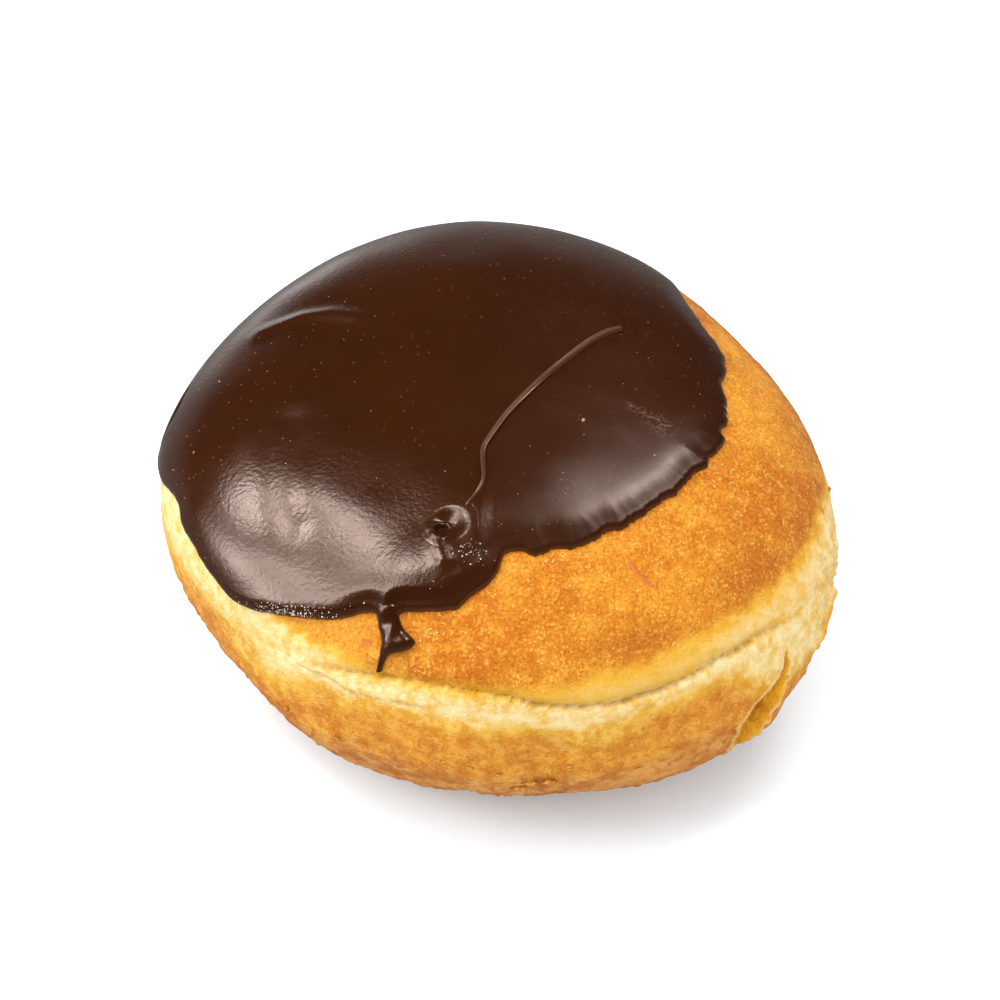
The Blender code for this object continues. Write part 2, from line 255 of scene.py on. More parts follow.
def dough_relief(points, azimuth, latitude):
    """How far the real skin stands from the smooth ball, in mm, and the marks that its colours follow."""
    ragged = lumps(points, 0.0016, 5)
    frayed = lumps(points, 0.0009, 6)

    depth = read_round(CREASE, azimuth, 2)
    lip = read_round(CREASE, azimuth, 3)
    below = MM_PER_LATITUDE * (read_round(CREASE, azimuth) - latitude)
    below = below + (0.08 + 0.20 * np.clip(lip, 0, 1)) * ragged
    shade = np.exp(-(np.abs(np.minimum(below, 0)) ** 1.2)) * (1 - soft_step(below, 0.0, 0.34))
    height = -depth * shade + lip * soft_step(below, 0.1, 0.45) * bell(np.maximum(below - 0.45, 0), 2.6)
    # Painted shade: a thin dark line along the bottom of the crease, kept as the crease mark.
    line = bell(below - 0.02, 0.22) * np.clip(depth, 0, 1)

    height += swell(points) + 0.22 * lumps(points, 0.013, 2) * soft_step(-latitude, -16, 0)
    height += 0.07 * lumps(points, 0.0045, 3)
    crumbly = soft_step(-latitude, 0, 12)
    height += (0.05 + 0.07 * crumbly) * ragged + 0.04 * crumbly * frayed

    flakes = lumps(points * (1, 1, 2.6), 0.0062, 9)
    patches = soft_step(lumps(points, 0.011, 10), -0.4, 0.3)
    flaky = (1 - np.abs(flakes)) ** 4 * soft_step(-latitude, 4, 12) * patches
    height += 0.30 * flaky

    pleat = skin_line((
        (-127, 5.4), (-124, 5.6), (-120.5, 6.2), (-116.5, 5.2), (-112, 6.4), (-107, 7.6), (-103, 8.4),
    ))
    off, side, _ = along_line(points, pleat)
    off = np.abs(off + 0.25 * ragged)
    height += -0.25 * bell(off, 0.3) + 0.22 * bell(off - 0.7, 0.5) * (side < 0)
    # Painted shade: the pleat's groove is darkened in the crease mark too.
    line = np.maximum(line, 0.4 * bell(off, 0.3))

    dent = bell(turned(azimuth, -83), 4.0) * bell(latitude + 5, 10)
    dent += 0.5 * bell(turned(azimuth, -118), 8) * bell(latitude + 5, 8)
    dent += 0.4 * bell(turned(azimuth, -62), 7) * bell(latitude + 4, 9)
    height -= 0.9 * dent

    scratch = skin_line(((-58.0, 47.6), (-57.7, 44.9), (-57.2, 42.6), (-56.0, 40.4)))
    off, side, _ = along_line(points, scratch)
    height += 0.22 * bell(off, 0.35) - 0.25 * bell(off - 0.6, 0.3) * (side < 0)
    scar = bell(off, 0.5)

    middle = skin_line(TEAR)
    off, side, place = along_line(points, middle)
    width = np.interp(place, np.arange(len(TEAR)), [row[2] for row in TEAR]) + 0.22 * ragged + 0.14 * frayed
    inside = soft_step(width - off, -0.05, 0.3)
    lean = np.clip(side * off / np.maximum(width, 0.1), -1, 1)
    height -= inside * TEAR_DEPTH * (0.68 + 0.32 * lean - 0.12 * ragged) * np.clip(width / 1.2, 0.2, 1)
    torn = bell(off - width - 0.6, 0.35) * (1 - inside) * (off < 6)
    opening = soft_step(width - off, -0.4, -0.2)
    height += (0.35 + 0.2 * frayed) * torn
    flap = bell(turned(azimuth, -40.5), 3.4) * bell(latitude + 17, 11) * (1 - inside)
    height += 0.9 * flap

    shred = bell(turned(azimuth, -20), 8) * bell(latitude - 4, 6)
    height += shred * (0.75 * lumps(points, 0.0020, 8) + 0.45 * frayed + 0.3)
    flake = skin_line(((-17.0, -3.5), (-20, -7.0), (-23, -8.7), (-28.5, -5.5)))
    off, _, _ = along_line(points, flake)
    flake = bell(off + 0.3 * ragged, 0.7)
    height += 0.9 * flake
    opened = skin_line(((-46.5, 13.0), (-43.3, 14.0), (-39, 12.7), (-35, 11.5)))
    off, _, _ = along_line(points, opened)
    opened = bell(off + 0.2 * ragged, 0.6)
    height -= 0.15 * opened

    height -= BUBBLE_HOLLOW * (1 - soft_step(from_place(points, BUBBLE_AT), 2.5, 5.0))

    spot = from_place(points, (-115.2, 23.6))
    scar = np.maximum(scar, 0.8 * np.exp(-((spot / 0.9 + 0.2 * ragged) ** 6)))
    above = MM_PER_LATITUDE * (latitude - read_round(GOLDEN_LINE, azimuth))
    aside = turned(azimuth, -90)
    right = soft_step(aside, -12, 20) * soft_step(-aside, -150, -100)
    browning = 0.75 * right * bell(above - 3.2, 2.6) * (0.7 + 0.5 * lumps(points, 0.02, 12))
    paler = 0.35 * bell(turned(azimuth, -122), 13) * soft_step(-latitude, -46, -24)
    front = soft_step(aside, -36, -24) * (1 - 0.6 * soft_step(aside, 30, 52))
    above_crease = front * soft_step(-below, -0.05, 0.6) * soft_step(-aside, -75, -60)
    marks = {
        "browning": np.clip(browning, 0, 1),
        "paler": paler,
        "over_crease": np.maximum(above_crease, opened),
        "above_ring": above,
        "below_ring": (read_round(BROWN_LINE, azimuth) - latitude) * 0.5,
        # The crease mark is painted shade in the crease and the pleat.
        "crease": line,
        "inside": np.maximum(opening, 0.85 * flake),
        "torn": np.clip(torn + 0.5 * shred, 0, 1),
        "flaky": flaky,
        "scar": scar,
    }
    return height, marks


def dough_columns(azimuth):
    """More columns on the side that faces -Y, and most at the tear."""
    front = soft_step(np.abs(turned(azimuth, -90)), 112, 88)
    return 1 + 1.9 * front + 3.0 * bell(turned(azimuth, -43), 7)


def dough_rows(latitude):
    """Rows about 0.28 mm apart by the crease, and up to 2 mm apart underneath and beneath the icing."""
    step = np.linalg.norm(dough_skin(-90, latitude + 0.01) - dough_skin(-90, latitude - 0.01), axis=-1) / 0.02
    wanted = 0.28 + 0.16 * soft_step(np.abs(latitude - 11), 14, 24) + 1.1 * soft_step(latitude, 50, 60)
    wanted = wanted + 1.6 * soft_step(-latitude, 38, 62)
    return step / wanted


columns = crowded(-180, 180, DOUGH_COLUMNS + 1, dough_columns)[:-1]
rows = crowded(-88.5, 88.8, DOUGH_ROWS, dough_rows)
azimuth, latitude = np.meshgrid(columns, rows)
smooth_ball = dough_skin(azimuth, latitude)
relief, dough_marks = dough_relief(smooth_ball, azimuth, latitude)
resting = soft_step(smooth_ball[..., 2], 0.0004, 0.003)
dough_grid = smooth_ball + outward(azimuth, latitude) * (relief * resting)[..., None] / 1000
dough_grid[..., 2] = np.maximum(dough_grid[..., 2], 0)
dough_piece = closed_sheet("doughnut_dough", dough_grid, [0, 0, 0], [0, 0, DOUGH_HEIGHT], dough_marks)


class Shader:
    """A material's node tree, wired by name: each call makes one node and joins its inputs."""

    def __init__(self, tree):
        self.tree = tree

    def node(self, kind, values=None, **settings):
        made = self.tree.nodes.new("ShaderNode" + kind)
        for setting, value in settings.items():
            setattr(made, setting, value)
        for socket, value in (values or {}).items():
            if isinstance(value, bpy.types.NodeSocket):
                self.tree.links.new(value, made.inputs[socket])
            else:
                made.inputs[socket].default_value = value
        return made

    def effect(self, group, **values):
        made = self.node("Group", node_tree=group)
        for socket, value in values.items():
            made.inputs[socket.replace("_", " ")].default_value = value
        return made.outputs

    def mark(self, name):
        return self.node("Attribute", attribute_name=name).outputs["Fac"]

    def place(self):
        return self.node("TexCoord").outputs["Object"]

    def math(self, operation, first, second=0.0, third=0.0):
        return self.node("Math", {0: first, 1: second, 2: third}, operation=operation).outputs[0]

    def ramp(self, value, low, high, to_low=0.0, to_high=1.0):
        values = {"Value": value, "From Min": low, "From Max": high, "To Min": to_low, "To Max": to_high}
        return self.node("MapRange", values, interpolation_type="SMOOTHSTEP").outputs[0]

    def noise(self, scale, detail=2.0, roughness=0.5, where=None):
        values = {"Vector": where or self.place(), "Scale": scale, "Detail": detail, "Roughness": roughness}
        return self.node("TexNoise", values).outputs["Fac"]

    def cells(self, scale):
        return self.node("TexVoronoi", {"Vector": self.place(), "Scale": scale}).outputs["Distance"]

    def mix(self, amount, first, second):
        made = self.node("Mix", data_type="RGBA")
        for socket, value in ((0, amount), (6, first), (7, second)):
            if isinstance(value, bpy.types.NodeSocket):
                self.tree.links.new(value, made.inputs[socket])
            else:
                made.inputs[socket].default_value = (*value, 1) if isinstance(value, tuple) else value
        return made.outputs[2]

    def bump(self, height, distance):
        return self.node("Bump", {"Height": height, "Distance": distance}).outputs["Normal"]

    def join(self, output, socket):
        self.tree.links.new(output, socket)


def shared_effect(name, inputs, outputs, build):
    """A node group used by several materials: named number inputs with their defaults, and named outputs."""
    group = bpy.data.node_groups.new(name, "ShaderNodeTree")
    for socket, value in inputs.items():
        made = group.interface.new_socket(socket, in_out="INPUT", socket_type="NodeSocketFloat")
        made.default_value = value
    for socket in outputs:
        group.interface.new_socket(socket, in_out="OUTPUT", socket_type="NodeSocketFloat")
    given = group.nodes.new("NodeGroupInput")
    results = build(Shader(group), given.outputs)
    end = group.nodes.new("NodeGroupOutput")
    for socket, result in zip(outputs, results, strict=True):
        group.links.new(result, end.inputs[socket])
    return group


def crumb_grain(wire, given):
    """Fried crumb: a grainy height, painted glints that stand for highlights on sugar and fat, and darker
    pores between the grains.
    """
    size = given["Grains per metre"]
    grains = wire.cells(size)
    fine = wire.noise(wire.math("MULTIPLY", size, 1.1), 3, 0.65)
    height = wire.math("MULTIPLY_ADD", fine, 1.0, wire.math("MULTIPLY", grains, -0.7))
    picked = wire.noise(wire.math("MULTIPLY", size, 0.33), 1, 0.5)
    # Painted highlight: a mask of small glints, used for the colour.
    painted_glint = wire.math("MULTIPLY", wire.ramp(grains, 0.40, 0.20), wire.ramp(picked, 0.50, 0.60))
    pore = wire.math("MULTIPLY", wire.ramp(fine, 0.47, 0.34), wire.ramp(picked, 0.62, 0.45))
    return height, painted_glint, pore


grain_outputs = ("Height", "Painted glint", "Pore")
grain_effect = shared_effect("crumb_grain", {"Grains per metre": 1700}, grain_outputs, crumb_grain)


def new_finish(name):
    """A material with its Principled shader, and the wiring helper for its tree."""
    material = bpy.data.materials.new(name)
    material.use_nodes = True
    return material, Shader(material.node_tree), material.node_tree.nodes["Principled BSDF"]


def fried_dough():
    """Golden crust, cream ring and browned underside, divided by ragged lines, with a fried grain."""
    material, wire, principled = new_finish("fried_dough")
    broad = wire.noise(60, 3, 0.55)
    middle = wire.noise(260, 4, 0.6)
    fine = wire.noise(900, 3, 0.6)
    speckle = wire.noise(2300, 3, 0.7)
    grain = wire.effect(grain_effect, Grains_per_metre=1900)
    upright = wire.node("VectorMath", {0: wire.place(), 1: (1, 1, 0.28)}, operation="MULTIPLY").outputs[0]
    fibres = wire.noise(700, 3, 0.6, upright)
    ragged = wire.math("MULTIPLY_ADD", wire.noise(420, 4, 0.65), 2.4, -1.2)
    wander = wire.math("MULTIPLY_ADD", wire.noise(110, 3, 0.5), 4.0, -2.0)

    top_line = wire.math("ADD", wire.mark("above_ring"), ragged)
    top_line = wire.math("ADD", top_line, wire.math("MULTIPLY", wander, 0.4))
    under_line = wire.math("ADD", wire.math("ADD", wire.mark("below_ring"), ragged), wander)

    crust = wire.mix(wire.ramp(broad, 0.36, 0.66), (0.35, 0.096, 0.0035), (0.450, 0.168, 0.009))
    crust = wire.mix(wire.ramp(middle, 0.46, 0.70, 0, 0.6), crust, (0.52, 0.240, 0.021))
    crust = wire.mix(wire.ramp(middle, 0.30, 0.46, 0.45, 0), crust, (0.3, 0.075, 0.0040))
    crust = wire.mix(wire.ramp(fine, 0.54, 0.70, 0, 0.5), crust, (0.55, 0.276, 0.030))
    crust = wire.mix(wire.mark("browning"), crust, (0.312, 0.081, 0.005))
    crust = wire.mix(wire.mark("paler"), crust, (0.50, 0.235, 0.028))
    crust = wire.mix(wire.ramp(speckle, 0.52, 0.68, 0, 0.50), crust, (0.60, 0.32, 0.045))
    crust = wire.mix(wire.ramp(speckle, 0.48, 0.33, 0, 0.55), crust, (0.25, 0.060, 0.0035))
    crust = wire.mix(wire.math("MULTIPLY", grain["Pore"], 0.55), crust, (0.216, 0.050, 0.0030))
    # Painted highlight: small pale glints painted into the crust's colour.
    crust = wire.mix(wire.math("MULTIPLY", grain["Painted glint"], 0.5), crust, (0.62, 0.38, 0.09))

    cream = wire.mix(wire.ramp(middle, 0.34, 0.62), (0.54, 0.330, 0.070), (0.552, 0.408, 0.17))
    cream = wire.mix(wire.ramp(fibres, 0.42, 0.62, 0, 0.5), cream, (0.58, 0.45, 0.23))
    cream = wire.mix(wire.ramp(fibres, 0.32, 0.46, 0.35, 0), cream, (0.53, 0.30, 0.045))
    blotches = wire.noise(520, 4, 0.7)
    cream = wire.mix(wire.ramp(blotches, 0.49, 0.58, 0, 0.5), cream, (0.61, 0.50, 0.27))
    cream = wire.mix(wire.ramp(blotches, 0.47, 0.38, 0, 0.4), cream, (0.54, 0.29, 0.032))
    yellow = wire.mix(wire.ramp(middle, 0.34, 0.64), (0.47, 0.205, 0.0060), (0.54, 0.290, 0.026))
    yellow = wire.mix(wire.ramp(blotches, 0.47, 0.58, 0, 0.5), yellow, (0.59, 0.39, 0.09))
    toasted = wire.mix(wire.ramp(middle, 0.34, 0.66), (0.40, 0.124, 0.0040), (0.50, 0.200, 0.010))
    toasted = wire.mix(wire.ramp(blotches, 0.50, 0.60, 0, 0.25), toasted, (0.60, 0.34, 0.075))
    toasted = wire.mix(wire.ramp(blotches, 0.45, 0.36, 0, 0.3), toasted, (0.36, 0.094, 0.0040))
    toasted = wire.mix(wire.ramp(speckle, 0.52, 0.68, 0, 0.40), toasted, (0.58, 0.31, 0.06))
    toasted = wire.mix(wire.math("MULTIPLY", grain["Pore"], 0.6), toasted, (0.24, 0.06, 0.005))
    sole = wire.mix(wire.ramp(middle, 0.36, 0.62), (0.35, 0.108, 0.012), (0.48, 0.215, 0.045))
    sole = wire.mix(wire.ramp(fine, 0.34, 0.48, 0.6, 0), sole, (0.3, 0.080, 0.0060))
    under = wire.mix(wire.ramp(under_line, 5.0, 9.5), toasted, sole)
    under = wire.mix(wire.ramp(wire.mark("flaky"), 0.25, 0.8, 0, 0.55), under, (0.27, 0.066, 0.004))

    color = wire.mix(wire.ramp(top_line, -2.3, 0.2), cream, yellow)
    color = wire.mix(wire.math("MULTIPLY", wire.mark("over_crease"), 0.75), color, (0.52, 0.275, 0.022))
    color = wire.mix(wire.ramp(top_line, -0.5, 1.6), color, crust)
    color = wire.mix(wire.ramp(under_line, -2.6, 0.6), color, yellow)
    color = wire.mix(wire.ramp(under_line, -0.6, 2.8), color, under)
    # Painted shade: the crease and the pleat darkened in the colour.
    color = wire.mix(wire.math("MULTIPLY", wire.mark("crease"), 0.8), color, (0.22, 0.098, 0.0020))
    color = wire.mix(wire.ramp(wire.mark("torn"), 0.15, 0.8, 0, 0.55), color, (0.57, 0.400, 0.16))
    color = wire.mix(wire.ramp(wire.mark("scar"), 0.2, 0.9, 0, 0.8), color, (0.38, 0.094, 0.024))
    deep = wire.mix(wire.ramp(middle, 0.35, 0.65), (0.40, 0.125, 0.003), (0.60, 0.275, 0.012))
    color = wire.mix(wire.ramp(wire.mark("inside"), 0.35, 0.9), color, deep)
    wire.join(color, principled.inputs["Base Color"])

    wire.join(wire.ramp(fine, 0.3, 0.7, 0.40, 0.60), principled.inputs["Roughness"])
    height = wire.math("MULTIPLY_ADD", middle, 1.6, wire.math("MULTIPLY", fibres, 0.7))
    height = wire.math("ADD", wire.math("MULTIPLY", speckle, 0.6), height)
    height = wire.math("ADD", height, grain["Height"])
    wire.join(wire.bump(height, 0.00018), principled.inputs["Normal"])
    principled.inputs["Specular IOR Level"].default_value = 0.25
    principled.inputs["Specular Tint"].default_value = (1.0, 0.82, 0.55, 1)
    principled.inputs["Subsurface Weight"].default_value = 0.08
    principled.inputs["Subsurface Radius"].default_value = (1.0, 0.45, 0.15)
    principled.inputs["Subsurface Scale"].default_value = 0.0015
    return material


dough_piece.data.materials.append(fried_dough())
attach(dough_piece, "root")
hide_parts("dough")


# The icing
# Dark chocolate icing, warm and runny when the top was dipped in it, set with a round bead at its
# edge. It ran further down on the left and at the back, where it folded over itself a little.

ICING_COLUMNS = 640
ICING_ROWS = 132
THICKNESS = 1.3

# Where the icing meets the dough: (azimuth, latitude).
ICING_EDGE = (
    (-177, 11.3), (-174, 13.8), (-171, 17.4), (-168, 19.9), (-165, 20.0), (-162, 18.2), (-159, 18.0),
    (-156, 17.5), (-153, 16.3), (-150, 15.2), (-147, 14.0), (-144, 13.3), (-141, 13.7), (-138, 15.6),
    (-135, 18.0), (-132, 20.1), (-129, 22.1), (-126, 24.1), (-123, 26.3), (-120, 29.5), (-118.5, 31.2),
    (-116.5, 32.8), (-115.2, 33.2), (-113.5, 32.4), (-112, 32.6), (-110.8, 34.6), (-109.6, 36.3),
    (-108, 37.1), (-105, 38.4), (-102, 39.3), (-100.5, 40.1), (-99, 40.7), (-97.5, 42.3), (-96, 44.6),
    (-94.5, 46.2), (-93, 47.1), (-91.5, 48.8), (-90, 50.8), (-89.2, 53.0), (-88.3, 55.1), (-87, 55.8),
    (-85.5, 56.0), (-84, 55.8), (-82.5, 55.4), (-81, 54.7), (-78, 55.0), (-75, 55.3), (-70, 55.1),
    (-67.5, 54.8), (-63, 55.5), (-57, 55.8), (-52.5, 55.4), (-47, 55.8), (-42, 56.1), (-38, 55.9),
    (-36, 55.3), (-32, 55.3), (-28, 55.3), (-25.5, 54.7), (-24, 54.0), (-22.5, 53.6), (-21, 53.7),
    (-18, 53.1), (-15, 52.2), (-12, 51.7), (-9, 52.5), (-7.5, 52.1), (-6, 50.9), (-3, 50.9), (0, 50.5),
    (3, 50.0), (7.5, 50.0), (10, 49.2), (12, 47.8), (15, 46.0), (18, 44.6), (22.5, 43.2), (25.5, 42.6),
    (30, 42.3), (34.5, 40.9), (39, 39.2), (42, 37.6), (45, 35.4), (48, 32.8), (51.3, 30.5), (60, 28),
    (70, 22.5), (80, 20), (90, 16), (100, 16.5), (112, 12.5), (124, 11.5), (135, 8.5), (146, 10.5),
    (156, 9.5), (168, 9), (178, 8.2),
)
# The edge: (azimuth, thickness, width of its rounding and rise of the shoulder behind it in mm).
BEAD = (
    (-176, 0.9, 1.1, 0), (-165, 1.0, 1.3, 0), (-150, 1.3, 1.7, 0), (-138, 1.6, 2.2, 0),
    (-125, 1.55, 2.1, 0.05), (-118, 1.3, 1.4, 0.3), (-112, 1.1, 0.85, 0.6), (-104, 1.0, 0.75, 0.65),
    (-97, 0.95, 0.75, 0.55), (-91, 0.9, 0.9, 0.2), (-80, 0.75, 0.9, 0), (-60, 0.85, 0.9, 0),
    (-40, 0.8, 0.9, 0), (0, 0.8, 1.0, 0), (45, 0.8, 1.1, 0), (70, 0.9, 1.2, 0), (110, 1.1, 1.4, 0),
    (150, 1.0, 1.2, 0),
)
# The ridge at the back left: places along its crest, half width and height in mm, and the places
# between which it sinks away.
RIDGE = ((154, 39), (148, 47.5), (144.5, 54), (142, 62), (140, 71.0), (140, 77))
RIDGE_HALF_WIDTH = 1.5
RIDGE_HEIGHT = 0.55
RIDGE_SINKS = (2.0, 4.6)
# Long low waves in the icing: (places along the crest, half width in mm, height in mm).
WAVES = (
    (((-168, 46), (-150, 52), (-132, 55)), 4.0, 0.15),
    (((-97, 47.5), (-93.2, 49.0), (-90.5, 50.5)), 1.3, 0.5),
    (((-99, 55), (-94, 54.5), (-88, 58)), 1.8, -0.25),
    (((-170, 58), (-161.8, 55.5), (-154.5, 51.6), (-147.5, 46.5), (-142, 44)), 2.6, -0.32),
    (((-108.2, 57.2), (-107.2, 55.4), (-105.6, 53.4), (-103.6, 51.0)), 1.2, 0.32),
)
# The fold at the left, a groove along these places, and its half width and depth in mm.
FOLD = ((-178.5, 5.5), (177, 9), (175.2, 13), (173.4, 16.5), (170, 18.3), (164.5, 17.5))
FOLD_HALF_WIDTH = 0.32
FOLD_DEPTH = 0.9
# The dull scuff at the right.
SCUFF = ((-11.5, 70.8), (-14, 68), (-15.6, 66), (-17.2, 64.3))
# How far up to the top the grid goes, as a share, and how deep its underside is in the dough.
TOP_SHARE = 0.985
UNDERSIDE_DEPTH = 0.0007

# The burst bubble in mm: a round dimple, with a pit at its left, where the skin broke, and how far
# the finer sheet round it reaches.
DIMPLE_RADIUS = 3.0
DIMPLE_DEPTH = 0.85
PIT_AT = (-106.3, 57.6)
PIT_RADIUS = 1.05
PIT_DEPTH = 1.0
FINE_REACH = 4.4


def distance_to_edge(points, edge):
    """Distance in mm from each point to the closed line of the edge."""
    flat = points.reshape(-1, 3)
    nearest = np.full(len(flat), 1e9)
    run = np.roll(edge, -1, axis=0) - edge
    for first in range(0, len(flat), 2000):
        apart = flat[first:first + 2000, None] - edge
        t = np.clip((apart * run).sum(-1) / (run * run).sum(-1), 0, 1)
        nearest[first:first + 2000] = np.linalg.norm(apart - t[..., None] * run, axis=-1).min(axis=1)
    return nearest.reshape(points.shape[:-1]) * 1000


def icing_columns(azimuth):
    """More columns on the side that faces -Y."""
    return 1 + 1.4 * soft_step(np.abs(turned(azimuth, -90)), 115, 85)


def icing_height(points, azimuth, from_edge):
    """The icing's height in mm: a round bead, then even with low waves, a fold and a dimple."""
    bead = read_round(BEAD, azimuth)
    rounding = read_round(BEAD, azimuth, 2)
    round_edge = np.sqrt(1 - (1 - np.clip(from_edge / rounding, 0, 1)) ** 2)
    height = round_edge * (THICKNESS + (bead - THICKNESS) * bell(from_edge, 2.6))
    shoulder = soft_step(from_edge, 1.3, 3.1) * (1 - soft_step(from_edge, 4.5, 14))
    height = height + read_round(BEAD, azimuth, 3) * shoulder
    inward = soft_step(from_edge, 0.5, 5)
    off, _, place = along_line(points, skin_line(RIDGE))
    standing = 1 - soft_step(place, *RIDGE_SINKS)
    height = height + inward * RIDGE_HEIGHT * standing * bell(off, RIDGE_HALF_WIDTH)
    for crest, half_width, rise in WAVES:
        off, _, _ = along_line(points, skin_line(crest))
        height = height + inward * rise * bell(off, half_width)
    height = height + inward * (0.16 * lumps(points, 0.026, 21) + 0.05 * lumps(points, 0.011, 22))
    off, _, _ = along_line(points, skin_line(FOLD))
    height = height - FOLD_DEPTH * bell(off, FOLD_HALF_WIDTH)
    dimple = 1 - soft_step(from_place(points, BUBBLE_AT), 0.4, DIMPLE_RADIUS)
    return height + swell(points) - DIMPLE_DEPTH * dimple


columns = crowded(-180, 180, ICING_COLUMNS + 1, icing_columns)[:-1]
share = np.linspace(0, 1, ICING_ROWS) ** 1.7
edge_at = read_round(ICING_EDGE, columns)
toothed = soft_step(turned(columns, -90), -2, 14) * soft_step(-turned(columns, -90), -115, -85)
edge_at = edge_at + 0.22 * lumps(dough_skin(columns, edge_at), 0.0022, 31)
edge_at = edge_at + 0.18 * toothed * lumps(dough_skin(columns, edge_at), 0.0010, 32)
edge_line = dough_skin(columns, edge_at)
azimuth, share = np.meshgrid(columns, share * TOP_SHARE)
latitude = edge_at + (90 - edge_at) * share
under_icing = dough_skin(azimuth, latitude)
from_edge = distance_to_edge(under_icing, edge_line)
height = icing_height(under_icing, azimuth, from_edge)
# The main sheet sinks under the fine sheet of the burst bubble, and lowest under its pit.
to_bubble = from_place(under_icing, BUBBLE_AT)
to_pit = from_place(under_icing, PIT_AT)
sunk = 0.25 * (1 - soft_step(to_bubble, FINE_REACH - 1.2, FINE_REACH - 0.4))
sunk = sunk + (PIT_DEPTH + 0.15) * (1 - soft_step(to_pit, PIT_RADIUS, PIT_RADIUS + 0.9))
height = np.maximum(height - sunk, np.minimum(height, -0.5))
outer = under_icing + outward(azimuth, latitude) * height[..., None] / 1000
azimuth_below, share_below = np.meshgrid(columns, np.linspace(TOP_SHARE, 0, 14) ** 1.5)
latitude_below = edge_at + (90 - edge_at) * share_below
down = outward(azimuth_below, latitude_below) * UNDERSIDE_DEPTH
below = dough_skin(azimuth_below, latitude_below) - down
icing_grid = np.concatenate([below, outer])
low_pole = [0, 0, DOUGH_HEIGHT - UNDERSIDE_DEPTH]
high_pole = [0, 0, DOUGH_HEIGHT + float(height[-1].mean()) / 1000]
off, _, place = along_line(under_icing, skin_line(SCUFF))
scuffed = bell(off, 0.6 + 0.3 * place)
under_marks = np.zeros(below.shape[:2])
icing_marks = {
    "thin": np.concatenate([under_marks, bell(from_edge, 0.28)]),
    "scuffed": np.concatenate([under_marks, scuffed]),
}
icing_piece = closed_sheet("chocolate_icing", icing_grid, low_pole, high_pole, icing_marks)


def icing_crinkle(wire, given):
    """Set icing: the height of a leathery skin, from two noises."""
    leather = wire.noise(given["Wrinkles per metre"], 1, 0.5)
    fine = wire.noise(wire.math("MULTIPLY", given["Wrinkles per metre"], 2.4), 1, 0.5)
    return (wire.math("MULTIPLY_ADD", fine, 0.35, leather),)


crinkle_effect = shared_effect("icing_crinkle", {"Wrinkles per metre": 1500}, ("Height",), icing_crinkle)


def chocolate(name, roughness, tint, relief):
    """Set chocolate icing: satin dark brown, a leathery crinkle that is calmer on the right, a pale
    scuff and a redder thin edge."""
    material, wire, principled = new_finish(name)
    skin = wire.effect(crinkle_effect, Wrinkles_per_metre=1500)
    color = wire.mix(wire.ramp(wire.noise(45, 2, 0.5), 0.3, 0.7), tint, tuple(value * 1.2 for value in tint))
    streaks = wire.node("VectorMath", {0: wire.place(), 1: (1, 1.7, 1)}, operation="MULTIPLY").outputs[0]
    dull = wire.ramp(wire.noise(1500, 3, 0.7, streaks), 0.48, 0.60)
    scuff = wire.math("MULTIPLY", wire.math("MULTIPLY", wire.mark("scuffed"), dull), 0.2)
    rightward = wire.node("SeparateXYZ", {0: wire.place()}).outputs["X"]
    calm = wire.ramp(rightward, -0.010, 0.010)
    color = wire.mix(scuff, color, (0.34, 0.22, 0.16))
    color = wire.mix(wire.math("MULTIPLY", wire.mark("thin"), 0.5), color, (0.08, 0.018, 0.004))
    wire.join(color, principled.inputs["Base Color"])
    rough = wire.ramp(wire.noise(200, 3, 0.6), 0.3, 0.7, roughness - 0.02, roughness + 0.04)
    wire.join(wire.math("MULTIPLY_ADD", calm, 0.07, rough), principled.inputs["Roughness"])
    crinkle = wire.math("MULTIPLY", skin["Height"], wire.math("MULTIPLY_ADD", calm, -0.82, 1.0))
    wire.join(wire.bump(crinkle, relief), principled.inputs["Normal"])
    principled.inputs["Specular IOR Level"].default_value = 0.5
    principled.inputs["Specular Tint"].default_value = (1.0, 0.80, 0.70, 1)
    return material


icing_finish = chocolate("chocolate_icing", 0.18, (0.0190, 0.0046, 0.0008), 0.000034)
icing_piece.data.materials.append(icing_finish)
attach(icing_piece, "root")
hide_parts("icing")


# The burst bubble
# A bubble of air that rose in the icing while it was soft, sank again as a round dimple and burst
# on its left side. This is the same icing as a finer sheet, with the pit in it.

BUBBLE_ROWS = 84
BUBBLE_COLUMNS = 120
MIDDLE_GAP = 0.04

mm_per_azimuth = np.linalg.norm(dough_skin(BUBBLE_AT[0] + 1, BUBBLE_AT[1]) - dough_skin(*BUBBLE_AT)) * 1000
mm_per_latitude = np.linalg.norm(dough_skin(BUBBLE_AT[0], BUBBLE_AT[1] + 1) - dough_skin(*BUBBLE_AT)) * 1000
round_middle = np.linspace(0, 2 * np.pi, BUBBLE_COLUMNS, endpoint=False)
out_from_middle = np.linspace(FINE_REACH, MIDDLE_GAP, BUBBLE_ROWS)
out_from_middle, round_middle = np.meshgrid(out_from_middle, round_middle, indexing="ij")
azimuth = BUBBLE_AT[0] + out_from_middle * np.cos(round_middle) / mm_per_azimuth
latitude = BUBBLE_AT[1] + out_from_middle * np.sin(round_middle) / mm_per_latitude
under_bubble = dough_skin(azimuth, latitude)
level = icing_height(under_bubble, azimuth, distance_to_edge(under_bubble, edge_line))
to_pit = from_place(under_bubble, PIT_AT) + 0.14 * lumps(under_bubble, 0.0011, 41)
pit = 1 - soft_step(to_pit, 0.55 * PIT_RADIUS, 1.1 * PIT_RADIUS)
pit_floor = PIT_DEPTH * pit - 0.28 * pit * lumps(under_bubble, 0.0009, 42)
pit_floor = pit_floor - 0.10 * bell(to_pit - 1.25 * PIT_RADIUS, 0.25)
sink = 0.022 * soft_step(out_from_middle, FINE_REACH - 0.5, FINE_REACH)
bubble_up = outward(azimuth, latitude)
